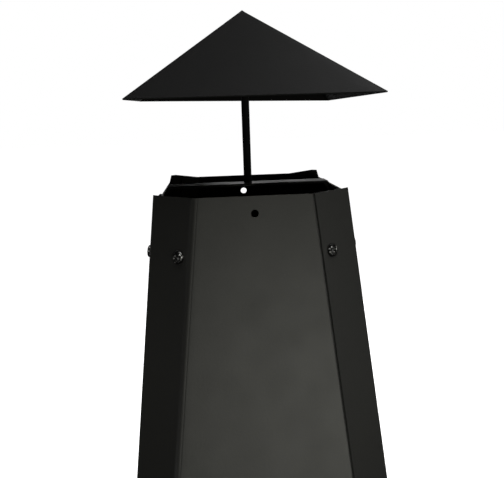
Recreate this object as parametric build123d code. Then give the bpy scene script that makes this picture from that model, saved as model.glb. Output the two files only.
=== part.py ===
from build123d import *
import math
import os

# A free-standing steel garden chiminea with a square rain hat. Millimetres, +Z up, +X to
# the right of someone facing the fire door, +Y to the back. The origin is on the ground
# under the middle of the body.

# Body: a tapered square tube of sheet steel, its corners cut off at 45 degrees
SHEET = 1.5
RIM_Z = 960.0
RIM_HALF = 92.0
TAPER = 0.11  # how far each side leans in, per mm of height
CORNER = 38.0  # plan size of a cut-off corner, the same at every height
SEAM_Z = 540.0  # the chimney stands on the fire chamber here
BODY_Z = 120.0  # lower edge of the fire chamber
LAP = 28.0  # 45 degree flange of a front or back panel, under the corner strip
RETURN = 34.0  # flange of a corner strip, over the side panel
ROOT2 = math.sqrt(2)

# Rim: the side panels fold in, the back panel stands a little higher than the front one,
# and the back strips end in raised ears
FOLD_DROP = 14.0
SIDE_INSET = 8.0
BACK_RISE = 2.6
EAR_RISE = 8.0
EAR_START = 34.0  # the ear is full height between these, measured from the fold
EAR_END = 40.5
RIM_HOLE_R = 3.5
RIM_HOLE_DROP = 15.5

# Screws of the body, M6 pan head with a cross recess, and their hexagon nuts
SCREW_R = 3.0
SCREW_HEAD_R = 6.0
SCREW_HEAD = 4.0
SCREW_LENGTH = 12.0
RECESS_WIDTH = 1.3
RECESS_LENGTH = 6.6
RECESS_DEPTH = 2.0
HEAD_ROUND = 0.7  # rounding of a pan head, as a share of its height
NUT_FLATS = 10.0
NUT_HEIGHT = 5.0
THREAD_GAP = 0.05
HOLE_GAP = 0.3
DRILL_REACH = 8.0
CHIMNEY_ROWS = (RIM_Z - 53.0, 590.0)
CHAMBER_ROWS = (500.0, 330.0, 215.0)
FACET_SCREW = 13.0  # from the front or back fold, along the cut-off corner
SIDE_SCREW = 20.0  # from the outer corner, along the side
SIDE_SCREW_DROP = 3.0  # the side panels' screws sit this much under their row

# Rain hat on its rod and crossbar
HAT_HALF = 111.0
HAT_Z = RIM_Z + 86.0
HAT_RISE = 85.0
HAT_SHEET = 1.2
HAT_TURN = 2.4  # the hat was tightened a little out of square
HAT_BEND = 5.5  # its left back corner is bent up this much
ROD_R = 4.0
ROD_FOOT_R = 5.0  # the rod's foot is riveted over under the crossbar
ROD_FOOT = 1.4
THREAD_END = 2.0
BAR_WIDTH = 25.0
BAR_THICK = 2.5
BAR_LIFT = 3.0  # top of the crossbar above the rim
BAR_TAB_END = 13.0  # the tabs end this far under the rim
BAR_SCREW_DROP = 10.0
BAR_SCREW_R = 2.5  # M5
BAR_HEAD_R = 4.75
BAR_HEAD = 3.3
BAR_SCREW_LENGTH = 10.0
BAR_NUT_FLATS = 8.0
BAR_NUT_HEIGHT = 4.0
PLATE_HALF = 31.0
PLATE_THICK = 2.0

# Joining collar and blind rivets
COLLAR_REACH = 20.0
COLLAR_THICK = 2.0
RIVET_R = 2.0
RIVET_HEAD_R = 4.0
RIVET_HEAD = 1.4
RIVET_TAIL = 3.0
RIVET_OFFSET = 50.0
FLOOR_RIVET_OFFSET = 75.0
RAIL_RIVET_OFFSET = 70.0

# Fire door, on the leaning front: u across, v up the slope, w outwards
DOOR_Z = 338.0
OPENING_U = 176.0
OPENING_V = 190.0
OPENING_ROUND = 6.0
DOOR_U = 204.0
DOOR_V = 218.0
DOOR_RIM = 24.0
DOOR_ROUND = 5.0
DOOR_GAP = 0.8
DOOR_THICK = 3.0
MESH_U = 168.0
MESH_V = 182.0
MESH_THICK = 2.0
MESH_PITCH = 14.0
MESH_BAR = 3.0
HINGE_U = -108.0
HINGE_W = 5.3
HINGE_V = 70.0
KNUCKLE_R = 5.0
KNUCKLE_LENGTH = 15.0
KNUCKLE_GAP = 0.3
PIN_R = 2.5
PIN_FIT = 0.01
PIN_RUN = 0.05
PIN_HEAD_R = 4.0
PIN_HEAD = 2.0
LEAF_THICK = 2.0
HANDLE_R = 4.0
HANDLE_REACH = 34.0
HANDLE_HALF = 42.0
HANDLE_BEND = 10.0
CATCH_U = 79.0
STRIKER_WIDTH = 8.0
STRIKER_HEIGHT = 12.0
STRIKER_DEPTH = 13.0
CATCH_SPAN = (75.0, 105.0)
CATCH_HEIGHT = 14.0
CATCH_DEPTH = 16.0
CATCH_CLEAR_END = 96.0  # the tongue's slot in the catch ends here
CATCH_NECK = 84.0  # from here on the catch reaches the panel
CATCH_FOOT = 4.5

# Floor, fire grate and its rails
FLOOR_Z = 200.0
FLOOR_LIP = 14.0
FLOOR_FIT = 0.2
SLOT_LENGTH = 150.0
SLOT_WIDTH = 12.0
SLOT_PITCH = 30.0
SLOTS = 6
GRATE_HALF = 134.0
GRATE_FRAME_R = 4.0
GRATE_BAR_R = 3.0
GRATE_BARS = 11
RAIL_Z = 246.0
RAIL_DEPTH = 20.0
RAIL_HALF = 100.0
RAIL_INNER_X = 126.0
REST_GAP = 0.3

# Ash drawer under the floor
DRAWER_HALF = 95.0
DRAWER_BACK_Y = 80.0
DRAWER_BASE_Z = 134.0
DRAWER_HEIGHT = 40.0
DRAWER_MOUTH_U = 200.0
DRAWER_MOUTH_LOW = 129.5
DRAWER_MOUTH_HIGH = 181.0
DRAWER_FRONT_U = 218.0
DRAWER_FRONT_V = 62.0
DRAWER_FRONT_Z = 156.0
DRAWER_FRONT_GAP = 0.5
DRAWER_FRONT_THICK = 2.0
RUNNER_FOOT = 12.0
RUNNER_FRONT_Y = -170.0
PULL_R = 3.0
PULL_REACH = 26.0
PULL_HALF = 35.0
PULL_BEND = 8.0

# Legs: channels inside the four cut-off corners, on square foot plates
LEG_TOP_Z = 180.0
LEG_START = 6.0
LEG_WIDTH = 34.0
LEG_DEPTH = 20.0
LEG_THICK = 3.0
LEG_BOLT_ROWS = (137.0, 167.0)
LEG_BOLT = 16.0
LEG_BOLT_LENGTH = 16.0
FOOT_SIDE = 66.0
FOOT_ROUND = 6.0
FOOT_THICK = 4.0

FRONT, BACK, LEFT, RIGHT = (0, -1), (0, 1), (-1, 0), (1, 0)
CORNERS = {
    "front_left": (-1, -1),
    "front_right": (1, -1),
    "back_left": (-1, 1),
    "back_right": (1, 1),
}


def half(z):
    """Half the body's width at a height."""
    return RIM_HALF + TAPER * (RIM_Z - z)


def flat(z):
    """Half the width of each flat side at a height."""
    return half(z) - CORNER


def polygon(points):
    """A flat face through a closed outline."""
    return Face(Wire.make_polygon(points, close=True))


def prism(below, above):
    """A flat-faced solid between two outlines with the same number of corners."""
    faces = [polygon(below), polygon(above)]
    for index in range(len(below)):
        before = index - 1
        faces.append(polygon([below[before], below[index], above[index], above[before]]))
    return Solid(Shell(faces)).fix()


def ruled(section, low, high):
    """A solid whose plan outline changes with height, between two levels."""
    below, above = ([(x, y, level) for x, y in section(level)] for level in (low, high))
    return prism(below, above)


def flat_plane(side, along, z, depth=0.0):
    """Plane on or under the outside of a flat side, looking out, at a distance along it."""
    dx, dy = side
    out = half(z) - depth
    origin = (dx * out - dy * along, dy * out + dx * along, z)
    return Plane(origin, x_dir=(-dy, dx, 0), z_dir=(dx, dy, TAPER))


def facet_plane(corner, along, z):
    """Plane on the outside of a cut-off corner, at a distance from its front or back fold."""
    sx, sy = corner
    step = along / ROOT2
    origin = (sx * (flat(z) + step), sy * (half(z) - step), z)
    return Plane(origin, x_dir=(sx, -sy, 0), z_dir=(sx, sy, 2 * TAPER))


def bore(plane, radius):
    """A cutter along a plane's normal, through whatever lies near its origin."""
    return plane * Cylinder(radius, 2 * DRILL_REACH)


def drilled(part, planes, radius):
    """The part with a round hole at every plane that lies on or just over it."""
    near = [plane for plane in planes if part.distance_to(Vertex(plane.origin)) < DRILL_REACH]
    for plane in near:
        part -= bore(plane, radius)
    return part


def pan_screw(radius=SCREW_R, head_r=SCREW_HEAD_R, head=SCREW_HEAD, length=SCREW_LENGTH):
    """A domed pan head screw with a cross recess, its head on the plane z = 0."""
    cap = Cylinder(head_r, head, align=(Align.CENTER, Align.CENTER, Align.MIN))
    cap = fillet(cap.edges().sort_by(Axis.Z)[-1], head * HEAD_ROUND)
    slot = Pos(0, 0, head) * Box(RECESS_LENGTH, RECESS_WIDTH, 2 * RECESS_DEPTH)
    cap -= [slot, Rot(0, 0, 90) * slot]
    shank = Cylinder(radius, length, align=(Align.CENTER, Align.CENTER, Align.MAX))
    return cap + shank


def hex_nut(top, radius=SCREW_R, flats=NUT_FLATS, height=NUT_HEIGHT):
    """A hexagon nut whose outer face lies at a depth under the plane z = 0."""
    blank = extrude(RegularPolygon(flats / 2, 6, major_radius=False), height)
    blank -= Cylinder(radius + THREAD_GAP, 3 * height)
    return Pos(0, 0, -top - height) * blank


def rivet(grip):
    """A blind rivet with a domed head on z = 0 and a swelled tail behind its grip."""
    head = Cylinder(RIVET_HEAD_R, RIVET_HEAD, align=(Align.CENTER, Align.CENTER, Align.MIN))
    head = chamfer(head.edges().sort_by(Axis.Z)[-1], RIVET_HEAD * 0.6, RIVET_HEAD * 1.2)
    shank = Cylinder(RIVET_R, grip, align=(Align.CENTER, Align.CENTER, Align.MAX))
    tail = Cylinder(RIVET_R * 1.5, RIVET_TAIL, align=(Align.CENTER, Align.CENTER, Align.MAX))
    return head + shank + Pos(0, 0, -grip) * tail


def bent_handle(radius, reach, half_length, bend):
    """A round bar bent to a U that stands on z = 0, with its grip along y."""
    feet = (0, -half_length, 0), (0, half_length, 0)
    grip = (0, -half_length, reach), (0, half_length, reach)
    corners = [feet[0], *grip, feet[1]]
    path = FilletPolyline(*corners, radius=bend)
    return sweep(Plane(corners[0], z_dir=(0, 0, 1)) * Circle(radius), path=path)


# Body sheets, drawn as plan outlines that grow with the taper


def faced_section(side_sign):
    """Front (-1) or back (1) panel: a flat with two 45 degree flanges under the strips."""

    def section(z):
        depth = half(z)
        fold = flat(z) - ROOT2 * SHEET
        inner = fold - (ROOT2 - 1) * SHEET
        reach = LAP / ROOT2
        skin = SHEET / ROOT2
        right = [
            (fold, -depth),
            (fold + reach, -depth + reach),
            (fold + reach - skin, -depth + reach + skin),
            (inner, -depth + SHEET),
        ]
        left = [(-x, y) for x, y in reversed(right)]
        return [(x, -side_sign * y) for x, y in right + left]

    return section


def strip_section(corner):
    """Corner strip: the cut-off corner and a flange that turns over the side panel."""
    sx, sy = corner

    def section(z):
        wide, narrow = half(z), flat(z)
        skin = SHEET / ROOT2
        points = [
            (narrow, wide),
            (wide, narrow),
            (wide, narrow - RETURN),
            (wide - SHEET, narrow - RETURN),
            (wide - SHEET, narrow - (ROOT2 - 1) * SHEET),
            (narrow - skin, wide - skin),
        ]
        return [(sx * x, sy * y) for x, y in points]

    return section


def side_section(sx, inset=0.0):
    """Side panel: a flat sheet inside the flanges of the strips, wider where it folds in."""

    def section(z):
        outer = half(z) - SHEET - inset
        edge = flat(z) - SHEET
        if inset:
            edge = half(z) + flat(z) - ROOT2 * SHEET - outer - HOLE_GAP
        points = [(outer, -edge), (outer, edge), (outer - SHEET, edge), (outer - SHEET, -edge)]
        return [(sx * x, y) for x, y in points]

    return section


def side_panel(sx, low, high, folded):
    """A side panel; at the rim its top edge folds inwards."""
    if not folded:
        return ruled(side_section(sx), low, high)
    bend_z = high - FOLD_DROP
    straight = side_section(sx)
    tipped = side_section(sx, SIDE_INSET - SHEET)
    below = [(x, y, bend_z) for x, y in straight(bend_z)]
    above = [(x, y, high) for x, y in tipped(high)]
    return ruled(straight, low, bend_z) + prism(below, above)


def strip_flange_clip(corner):
    """Cutter that clips the top of a strip's side flange clear of the folded side panel."""
    sx, sy = corner
    start = flat(RIM_Z) - SHEET / 2
    low = RIM_Z - FOLD_DROP
    over = RIM_Z + 3 * EAR_RISE
    outline = [
        (sy * start, over),
        (sy * start, RIM_Z),
        (sy * (start - FOLD_DROP), low),
        (sy * (start - 2 * RETURN), low),
        (sy * (start - 2 * RETURN), over),
    ]
    face = make_face(Plane.YZ * Polyline(*outline, close=True))
    return Pos(sx * RIM_HALF, 0, 0) * extrude(face, SIDE_INSET * 2, both=True)


def ear_cutter(corner):
    """Cutter that leaves a raised ear on a back strip and slopes it down to the side."""
    foot = (RIM_HALF - SIDE_INSET - flat(RIM_Z)) * ROOT2
    wide = CORNER * 2
    over = EAR_RISE * 4
    outline = [
        (-wide, BACK_RISE),
        (0, BACK_RISE),
        (EAR_START, EAR_RISE),
        (EAR_END, EAR_RISE),
        (foot, 0),
        (CORNER * ROOT2, -FOLD_DROP),
        (wide, -FOLD_DROP),
        (wide, over),
        (-wide, over),
    ]
    sx, sy = corner
    fold = (sx * flat(RIM_Z), sy * half(RIM_Z), RIM_Z)
    # x runs from the fold to the outer corner and y runs up
    along = Vector(sx, -sy, 0)
    upright = Plane(fold, x_dir=along, z_dir=along.cross(Vector(0, 0, 1)))
    return extrude(make_face(upright * Polyline(*outline, close=True)), FOLD_DROP, both=True)


def chimney_strip(corner):
    """One of the four corner strips of the chimney, trimmed at the rim."""
    at_back = corner[1] > 0
    top = RIM_Z + EAR_RISE if at_back else RIM_Z
    strip = ruled(strip_section(corner), SEAM_Z, top)
    if at_back:
        strip -= ear_cutter(corner)
    return strip - strip_flange_clip(corner)


def screw_planes(rows):
    """Where the body screws go: on each cut-off corner and on each side, in every row."""
    planes = []
    for z in rows:
        side_z = z - SIDE_SCREW_DROP
        for sx, sy in CORNERS.values():
            planes.append(facet_plane((sx, sy), FACET_SCREW, z))
            planes.append(flat_plane((sx, 0), sx * sy * (flat(side_z) - SIDE_SCREW), side_z))
    return planes


def rivet_planes(z, sides, offset=RIVET_OFFSET):
    """Two rivets on each given side at one height, on the face of the panel itself."""
    planes = []
    for side in sides:
        depth = SHEET if side[0] else 0.0
        planes += [flat_plane(side, sign * offset, z, depth) for sign in (-1, 1)]
    return planes


def ring_section(depth_flat, depth_side, depth_facet):
    """Octagon inside the body, at given depths under its flats, sides and cut-off corners."""

    def section(z):
        y = half(z) - depth_flat
        x = half(z) - depth_side
        total = half(z) + flat(z) - ROOT2 * depth_facet
        quarter = [(total - y, y), (x, total - x)]
        points = []
        for sx, sy in ((1, 1), (1, -1), (-1, -1), (-1, 1)):
            corner = [(sx * px, sy * py) for px, py in quarter]
            points += corner if sx * sy > 0 else corner[::-1]
        return points

    return section


def ring(low, high, thick, fit=0.0):
    """Octagonal band that fits inside the body sheets."""
    outer = ring_section(SHEET + fit, 2 * SHEET + fit, 2 * SHEET + fit)
    inner = ring_section(SHEET + fit + thick, 2 * SHEET + fit + thick, 2 * SHEET + fit + thick)
    return ruled(outer, low, high) - ruled(inner, low - 1, high + 1)


# Rivets: collar, floor lip and grate rails

COLLAR_LEVELS = (SEAM_Z - COLLAR_REACH / 2, SEAM_Z + COLLAR_REACH / 2)
ALL_SIDES = (FRONT, BACK, LEFT, RIGHT)
COLLAR_RIVETS = {z: rivet_planes(z, ALL_SIDES) for z in COLLAR_LEVELS}
FLOOR_RIVETS = rivet_planes(FLOOR_Z - FLOOR_LIP / 2, ALL_SIDES, FLOOR_RIVET_OFFSET)
RAIL_RIVETS = rivet_planes(RAIL_Z - RAIL_DEPTH / 2, (LEFT, RIGHT), RAIL_RIVET_OFFSET)
RIM_HOLES = [flat_plane(side, 0, RIM_Z - RIM_HOLE_DROP) for side in (FRONT, BACK)]
LEG_BOLTS = [facet_plane(c, LEG_BOLT, z) for z in LEG_BOLT_ROWS for c in CORNERS.values()]


def fold_line_x(z):
    """Outer face of a folded side panel near the rim, as a distance from the middle."""
    bend_x = half(RIM_Z - FOLD_DROP) - SHEET
    rim_x = RIM_HALF - SIDE_INSET
    return rim_x + (bend_x - rim_x) * (RIM_Z - z) / FOLD_DROP


def bracket_screw_planes():
    """Planes on the folded edges of the side panels, where the crossbar is screwed on."""
    z = RIM_Z - BAR_SCREW_DROP
    lean = fold_line_x(z - 1) - fold_line_x(z)
    return [Plane((s * fold_line_x(z), 0, z), x_dir=(0, 1, 0), z_dir=(s, 0, lean)) for s in (-1, 1)]


BAR_SCREWS = bracket_screw_planes()


def make_chimney():
    """The eight sheets of the chimney."""
    screws = screw_planes(CHIMNEY_ROWS)
    rivets = COLLAR_RIVETS[COLLAR_LEVELS[1]]
    parts = {
        "chimney_front_panel": ruled(faced_section(-1), SEAM_Z, RIM_Z),
        "chimney_back_panel": ruled(faced_section(1), SEAM_Z, RIM_Z + BACK_RISE),
        "chimney_left_panel": side_panel(-1, SEAM_Z, RIM_Z, True),
        "chimney_right_panel": side_panel(1, SEAM_Z, RIM_Z, True),
    }
    for name, part in parts.items():
        part = drilled(part, rivets, RIVET_R + HOLE_GAP)
        part = drilled(part, RIM_HOLES, RIM_HOLE_R)
        part = drilled(part, BAR_SCREWS, BAR_SCREW_R + HOLE_GAP)
        parts[name] = part
    for name, corner in CORNERS.items():
        parts[f"chimney_corner_{name}"] = chimney_strip(corner)
    return {name: drilled(part, screws, SCREW_R + HOLE_GAP) for name, part in parts.items()}


def make_chamber():
    """The eight sheets of the fire chamber, with the door and drawer mouths in front."""
    screws = screw_planes(CHAMBER_ROWS)
    rivets = COLLAR_RIVETS[COLLAR_LEVELS[0]] + FLOOR_RIVETS + RAIL_RIVETS
    front = ruled(faced_section(-1), BODY_Z, SEAM_Z)
    mouth = Box(OPENING_U, OPENING_V, 2 * DRILL_REACH)
    front -= DOOR_PLANE * fillet(mouth.edges().filter_by(Axis.Z), OPENING_ROUND)
    height = DRAWER_MOUTH_HIGH - DRAWER_MOUTH_LOW
    middle = (DRAWER_MOUTH_HIGH + DRAWER_MOUTH_LOW) / 2
    front -= Pos(0, -half(middle), middle) * Box(DRAWER_MOUTH_U, CORNER, height)
    parts = {
        "chamber_front_panel": front,
        "chamber_back_panel": ruled(faced_section(1), BODY_Z, SEAM_Z),
        "chamber_left_panel": side_panel(-1, BODY_Z, SEAM_Z, False),
        "chamber_right_panel": side_panel(1, BODY_Z, SEAM_Z, False),
    }
    for name, part in parts.items():
        parts[name] = drilled(part, rivets, RIVET_R + HOLE_GAP)
    for name, corner in CORNERS.items():
        parts[f"chamber_corner_{name}"] = ruled(strip_section(corner), BODY_Z, SEAM_Z)
    parts = {name: drilled(part, screws, SCREW_R + HOLE_GAP) for name, part in parts.items()}
    return {name: drilled(part, LEG_BOLTS, SCREW_R + HOLE_GAP) for name, part in parts.items()}


def upright_bar(radius, low, high):
    """A round bar on the middle axis, between two heights."""
    bar = Cylinder(radius, high - low, align=(Align.CENTER, Align.CENTER, Align.MIN))
    return Pos(0, 0, low) * bar


def hat_shell(drop):
    """A square pyramid with one hem corner bent up, over a smaller copy of itself."""
    corners = [(-1, -1, 0), (1, -1, 0), (1, 1, 0), (-1, 1, HAT_BEND)]
    hem = [Vector(x * HAT_HALF, y * HAT_HALF, z) for x, y, z in corners]
    tip = Vector(0, 0, HAT_RISE)
    share = 1 - drop / HAT_RISE
    faces = []
    for index in range(4):
        first, second = hem[index - 1], hem[index]
        faces.append(polygon([first, second, tip]))
        faces.append(polygon([first * share, second * share, tip * share]))
        faces.append(polygon([first, second, second * share, first * share]))
    return Pos(0, 0, HAT_Z) * Solid(Shell(faces)).fix()


def make_hat():
    """Rain hat, its inner plate, the rod, the crossbar and their fasteners."""
    slope = HAT_RISE / HAT_HALF
    lean = math.atan(slope)
    drop = HAT_SHEET / math.cos(lean)
    ceiling = HAT_Z + HAT_RISE - drop

    def square(z):
        side = (ceiling - z) / slope
        return [(-side, -side), (side, -side), (side, side), (-side, side)]

    plate_z = ceiling - PLATE_HALF * slope
    plate = ruled(square, plate_z - PLATE_THICK, plate_z)
    plate -= Cylinder(SCREW_R + HOLE_GAP, 3 * ceiling)
    turn = Rot(0, 0, HAT_TURN)
    screw = pan_screw(BAR_SCREW_R, BAR_HEAD_R, BAR_HEAD, BAR_SCREW_LENGTH)
    nut = hex_nut(SHEET + BAR_THICK, BAR_SCREW_R, BAR_NUT_FLATS, BAR_NUT_HEIGHT)

    bar_z = RIM_Z + BAR_LIFT
    rod_top = plate_z - PLATE_THICK
    foot_z = bar_z - BAR_THICK
    rod = upright_bar(ROD_R, bar_z, rod_top)
    rod += upright_bar(SCREW_R, rod_top, plate_z + NUT_HEIGHT + THREAD_END)
    rod += upright_bar(SCREW_R, foot_z, bar_z) + upright_bar(ROD_FOOT_R, foot_z - ROD_FOOT, foot_z)
    return {
        "hat_shell": turn * hat_shell(drop),
        "hat_plate": turn * plate,
        "hat_rod": rod,
        "hat_rod_nut": Pos(0, 0, plate_z + NUT_HEIGHT) * hex_nut(0),
        "hat_crossbar": make_crossbar(),
        "crossbar_screws": [plane * screw for plane in BAR_SCREWS],
        "crossbar_nuts": [plane * nut for plane in BAR_SCREWS],
    }


def make_crossbar():
    """Flat bar across the rim whose ends bend down inside the folded side panels."""
    top, low = RIM_Z + BAR_LIFT, RIM_Z - BAR_TAB_END
    lean = fold_line_x(RIM_Z - 1) - fold_line_x(RIM_Z)
    skin = SHEET * math.hypot(1, lean)
    thick = BAR_THICK * math.hypot(1, lean)

    def outer(z):
        return fold_line_x(z) - skin

    right = [
        (outer(top), top),
        (outer(low), low),
        (outer(low) - thick, low),
        (outer(top - BAR_THICK) - thick, top - BAR_THICK),
    ]
    left = [(-x, z) for x, z in reversed(right)]
    profile = make_face(Plane.XZ * Polyline(*right, *left, close=True))
    bar = extrude(profile, BAR_WIDTH / 2, both=True)
    bar -= upright_bar(SCREW_R, RIM_Z, top + BAR_LIFT)
    return drilled(bar, BAR_SCREWS, BAR_SCREW_R + HOLE_GAP)


DOOR_PLANE = flat_plane(FRONT, 0, DOOR_Z)


def slab(u, v, low, high, at_u=0.0, at_v=0.0):
    """A box on the door plane, between two distances out of the front panel."""
    return Pos(at_u, at_v, (low + high) / 2) * Box(u, v, high - low)


def knuckle(v, plate, radius):
    """A hinge knuckle at a height on the door plane, with its plate, bored for the pin."""
    place = Pos(HINGE_U, v, HINGE_W) * Rot(90, 0, 0)
    return place * Cylinder(KNUCKLE_R, KNUCKLE_LENGTH) + plate - place * Cylinder(radius, DOOR_V)


def make_door():
    """Fire door: frame, wire mesh, handle, hinge halves, pins and spring catch."""
    face = DOOR_GAP + DOOR_THICK
    frame = slab(DOOR_U, DOOR_V, DOOR_GAP, face)
    frame = fillet(frame.edges().filter_by(Axis.Z), DOOR_ROUND)
    frame -= slab(DOOR_U - 2 * DOOR_RIM, DOOR_V - 2 * DOOR_RIM, 0, 2 * face)
    handle_u = DOOR_U / 2 - DOOR_RIM / 2
    grip = bent_handle(HANDLE_R, HANDLE_REACH - face, HANDLE_HALF, HANDLE_BEND)

    count_u = int((MESH_U - MESH_BAR) / MESH_PITCH)
    count_v = int((MESH_V - MESH_BAR) / MESH_PITCH)
    hole = MESH_PITCH - MESH_BAR
    cells = GridLocations(MESH_PITCH, MESH_PITCH, count_u, count_v)
    back = DOOR_GAP - MESH_THICK
    mesh = slab(MESH_U, MESH_V, back, DOOR_GAP)
    mesh -= [loc * slab(hole, hole, 2 * back, 2 * face) for loc in cells]

    plate = slab(STRIKER_WIDTH, STRIKER_HEIGHT, back - SHEET, back, CATCH_U)
    tongue = slab(STRIKER_WIDTH, MESH_THICK, -STRIKER_DEPTH, back, CATCH_U)
    low, high = CATCH_SPAN
    clip = slab(high - low, CATCH_HEIGHT, -CATCH_DEPTH, -SHEET, (low + high) / 2)
    slot = MESH_THICK + 2 * KNUCKLE_GAP
    beside = 2 * low - CATCH_CLEAR_END
    clip -= slab(CATCH_CLEAR_END - beside, slot, -2 * CATCH_DEPTH, 0, low)
    neck = CATCH_NECK - low
    clip -= slab(2 * neck, 2 * CATCH_HEIGHT, -CATCH_FOOT, 0, low)

    fixed, moving, pins = [], [], []
    run = KNUCKLE_LENGTH + KNUCKLE_GAP
    leaf_end = -DOOR_U / 2 + DOOR_RIM / 2
    upright = Rot(90, 0, 0)
    for v in (-HINGE_V, HINGE_V):
        low, high = v - run / 2, v + run / 2
        foot = slab(2 * KNUCKLE_R, KNUCKLE_LENGTH, 0, HINGE_W, HINGE_U, low)
        fixed.append(knuckle(low, foot, PIN_R + PIN_FIT))
        middle = (leaf_end + HINGE_U) / 2
        leaf = slab(leaf_end - HINGE_U, KNUCKLE_LENGTH, face, face + LEAF_THICK, middle, high)
        moving.append(knuckle(high, leaf, PIN_R + PIN_RUN))
        pin = Cylinder(PIN_R, 2 * run + PIN_HEAD)
        pin += Pos(0, 0, -run - PIN_HEAD) * Cylinder(PIN_HEAD_R, PIN_HEAD)
        pins.append(Pos(HINGE_U, v, HINGE_W) * upright * pin)
    local = {
        "door_frame": frame,
        "door_mesh": mesh,
        "door_handle": Pos(handle_u, 0, face) * grip,
        "door_striker": plate + tongue,
        "door_catch": clip,
        "hinge_body_knuckles": fixed,
        "hinge_door_knuckles": moving,
        "hinge_pins": pins,
    }
    return {name: placed(DOOR_PLANE, part) for name, part in local.items()}


def placed(plane, part):
    """A part, or every part of a list, moved from a plane's own axes into the body's."""
    if isinstance(part, list):
        return [plane * piece for piece in part]
    return plane * part


def make_floor():
    """Floor pan, grate rails and the lift-out fire grate."""
    inset = FLOOR_FIT
    outline = ring_section(SHEET + inset, 2 * SHEET + inset, 2 * SHEET + inset)
    pan = ruled(outline, FLOOR_Z - SHEET, FLOOR_Z)
    pan += ring(FLOOR_Z - FLOOR_LIP, FLOOR_Z - SHEET, SHEET, inset)
    slot = Box(SLOT_WIDTH, SLOT_LENGTH, FLOOR_LIP)
    pan -= [Pos(0, 0, FLOOR_Z) * loc * slot for loc in GridLocations(SLOT_PITCH, 1, SLOTS, 1)]
    parts = {"chamber_floor": drilled(pan, FLOOR_RIVETS, RIVET_R + HOLE_GAP)}

    for name, sx in (("left", -1), ("right", 1)):

        def wall(z, sx=sx):
            x = half(z) - 2 * SHEET
            back, front = RAIL_HALF, -RAIL_HALF
            points = [(x, front), (x, back), (x - SHEET, back), (x - SHEET, front)]
            return [(sx * px, py) for px, py in points]

        shelf_end = half(RAIL_Z) - 2.5 * SHEET
        shelf = Box(shelf_end - RAIL_INNER_X, 2 * RAIL_HALF, SHEET)
        shelf = Pos(sx * (shelf_end + RAIL_INNER_X) / 2, 0, RAIL_Z - SHEET / 2) * shelf
        rail = ruled(wall, RAIL_Z - RAIL_DEPTH, RAIL_Z) + shelf
        parts[f"grate_rail_{name}"] = drilled(rail, RAIL_RIVETS, RIVET_R + HOLE_GAP)

    rod_span = 2 * GRATE_HALF
    long_bar = Rot(90, 0, 0) * Cylinder(GRATE_FRAME_R, rod_span + 2 * GRATE_FRAME_R)
    grate = Pos(GRATE_HALF, 0, 0) * long_bar + Pos(-GRATE_HALF, 0, 0) * long_bar
    for sign in (-1, 1):
        grate += Pos(0, sign * GRATE_HALF, 0) * Rot(0, 0, 90) * long_bar
    pitch = rod_span / (GRATE_BARS + 1)
    for loc in GridLocations(pitch, 1, GRATE_BARS, 1):
        grate += loc * Rot(90, 0, 0) * Cylinder(GRATE_BAR_R, rod_span)
    parts["fire_grate"] = Pos(0, 0, RAIL_Z + REST_GAP + GRATE_FRAME_R) * grate
    return parts


def make_drawer():
    """Ash drawer with its leaning front plate and pull, on two hanging runners."""
    plane = flat_plane(FRONT, 0, DRAWER_FRONT_Z)
    depth = 2 * half(BODY_Z)
    top = DRAWER_BASE_Z + DRAWER_HEIGHT
    middle = Vector(0, DRAWER_BACK_Y - depth / 2, (DRAWER_BASE_Z + top) / 2)
    box = Pos(middle) * Box(2 * DRAWER_HALF, depth, DRAWER_HEIGHT)
    hollow = Box(2 * (DRAWER_HALF - SHEET), depth, DRAWER_HEIGHT)
    box -= Pos(middle + Vector(0, -SHEET, SHEET)) * hollow
    box -= plane * slab(depth, depth, DRAWER_FRONT_GAP, depth)
    outer = DRAWER_FRONT_GAP + DRAWER_FRONT_THICK
    plate = slab(DRAWER_FRONT_U, DRAWER_FRONT_V, DRAWER_FRONT_GAP, outer)
    pull = bent_handle(PULL_R, PULL_REACH - outer, PULL_HALF, PULL_BEND)
    pull = Pos(0, 0, outer) * Rot(0, 0, 90) * pull

    parts = {
        "ash_drawer": box,
        "drawer_front": plane * plate,
        "drawer_pull": plane * pull,
    }
    length = DRAWER_BACK_Y - RUNNER_FRONT_Y
    mid_y = (DRAWER_BACK_Y + RUNNER_FRONT_Y) / 2
    roof = FLOOR_Z - SHEET
    low = DRAWER_BASE_Z - REST_GAP - SHEET
    web_x = DRAWER_HALF + 2 * REST_GAP + SHEET / 2
    for name, sx in (("left", -1), ("right", 1)):
        web = Pos(sx * web_x, mid_y, (roof + low) / 2) * Box(SHEET, length, roof - low)
        foot_x = web_x + SHEET / 2 - RUNNER_FOOT / 2
        foot = Pos(sx * foot_x, mid_y, low + SHEET / 2) * Box(RUNNER_FOOT, length, SHEET)
        head_x = web_x + RUNNER_FOOT / 2
        head = Pos(sx * head_x, mid_y, roof - SHEET / 2) * Box(RUNNER_FOOT, length, SHEET)
        parts[f"drawer_runner_{name}"] = web + foot + head
    return parts


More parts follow.
